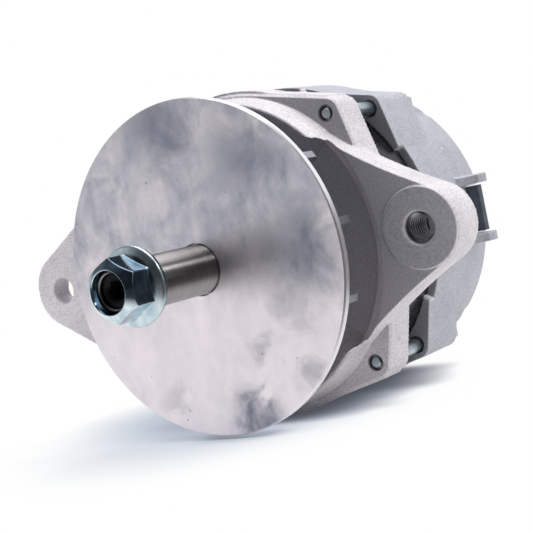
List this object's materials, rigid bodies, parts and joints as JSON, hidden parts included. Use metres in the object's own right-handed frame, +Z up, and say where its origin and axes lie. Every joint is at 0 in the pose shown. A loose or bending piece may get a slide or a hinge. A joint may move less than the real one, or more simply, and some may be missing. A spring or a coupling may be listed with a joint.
{
  "type": "engine alternator",
  "caption": "Hinge-mounted heavy-duty alternator with a finned front fan, a turning claw-pole rotor, cast housings and an output stud at the rear.",
  "frame": {"origin": "on the shaft axis, at the front face of the fan", "axes": "+X from the shaft to the threaded adjusting ear, +Y along the shaft from the pulley end to the rear, +Z up with both ears level"},
  "size_m": [0.2443, 0.225, 0.1522],
  "materials": {
    "fan_plate": "satin",
    "ground_steel": "polished",
    "zinc": "satin",
    "front_casting": "matte",
    "rear_casting": "satin",
    "bearing_steel": "polished",
    "cage_brass": "satin",
    "plate_steel": "satin",
    "forged_steel": "matte",
    "spring_steel": "satin",
    "black_lamination": "matte",
    "varnished_copper": "gloss",
    "ring_copper": "polished",
    "sink_aluminium": "satin",
    "black_moulding": "matte",
    "board_plastic": "matte",
    "carbon": "matte"
  },
  "bodies": {
    "casing": {"front_housing": "front_casting", "front_bearing_outer": "bearing_steel", "bearing_retainer": "plate_steel", "retainer_screws": "zinc", "stator_core": "black_lamination", "stator_winding": "varnished_copper", "rear_bearing_outer": "bearing_steel", "rear_housing": "rear_casting", "hinge_bushing": "zinc", "through_bolts": "zinc", "bolt_washers": "zinc", "negative_heat_sink": "sink_aluminium", "positive_heat_sink": "sink_aluminium", "diodes": "plate_steel", "heat_sink_spacers": "black_moulding", "heat_sink_screws": "zinc", "regulator": "black_moulding", "brush_holder": "black_moulding", "brush_spring_a": "spring_steel", "brush_spring_b": "spring_steel", "holder_screws": "zinc", "regulator_screws": "zinc", "capacitor": "sink_aluminium", "terminal_board": "board_plastic", "board_screws": "zinc", "relay_stud": "zinc", "relay_nut": "zinc", "output_stud": "zinc", "output_insulator": "black_moulding", "output_nut": "zinc"},
    "rotor": {"fan": "fan_plate", "fan_collar": "ground_steel", "shaft": "ground_steel", "flange_nut": "zinc", "nut_washer": "zinc", "front_bearing_inner": "bearing_steel", "rotor_core": "forged_steel", "front_pole": "forged_steel", "rear_pole": "forged_steel", "coil_bobbin": "black_moulding", "field_coil": "varnished_copper", "slip_ring_hub": "black_moulding", "slip_rings": "ring_copper", "rear_bearing_inner": "bearing_steel"},
    "front_ball_row": {"front_balls": "bearing_steel", "front_cage": "cage_brass"},
    "rear_ball_row": {"rear_balls": "bearing_steel", "rear_cage": "cage_brass"},
    "brush_a": {"brush_a": "carbon"},
    "brush_b": {"brush_b": "carbon"}
  },
  "joints": [
    {"name": "rotor_spin", "type": "hinge", "parent": "casing", "child": "rotor", "pos_m": [0, 0, 0], "axis": [0, 1, 0], "continuous": true},
    {"name": "front_balls_spin", "type": "hinge", "parent": "casing", "child": "front_ball_row", "pos_m": [0, 0, 0], "axis": [0, 1, 0], "continuous": true},
    {"name": "rear_balls_spin", "type": "hinge", "parent": "casing", "child": "rear_ball_row", "pos_m": [0, 0, 0], "axis": [0, 1, 0], "continuous": true},
    {"name": "brush_a_slide", "type": "slide", "parent": "casing", "child": "brush_a", "axis": [0, 0, 1], "range_m": [0, 0.006], "stiffness_N_per_m": 250, "springref_m": -0.016, "deforming": ["brush_spring_a"]},
    {"name": "brush_b_slide", "type": "slide", "parent": "casing", "child": "brush_b", "axis": [0, 0, 1], "range_m": [0, 0.006], "stiffness_N_per_m": 250, "springref_m": -0.016, "deforming": ["brush_spring_b"]}
  ],
  "couplings": [
    {"joint": "front_balls_spin", "follows": "rotor_spin", "ratio": 0.3705},
    {"joint": "rear_balls_spin", "follows": "rotor_spin", "ratio": 0.3779}
  ]
}
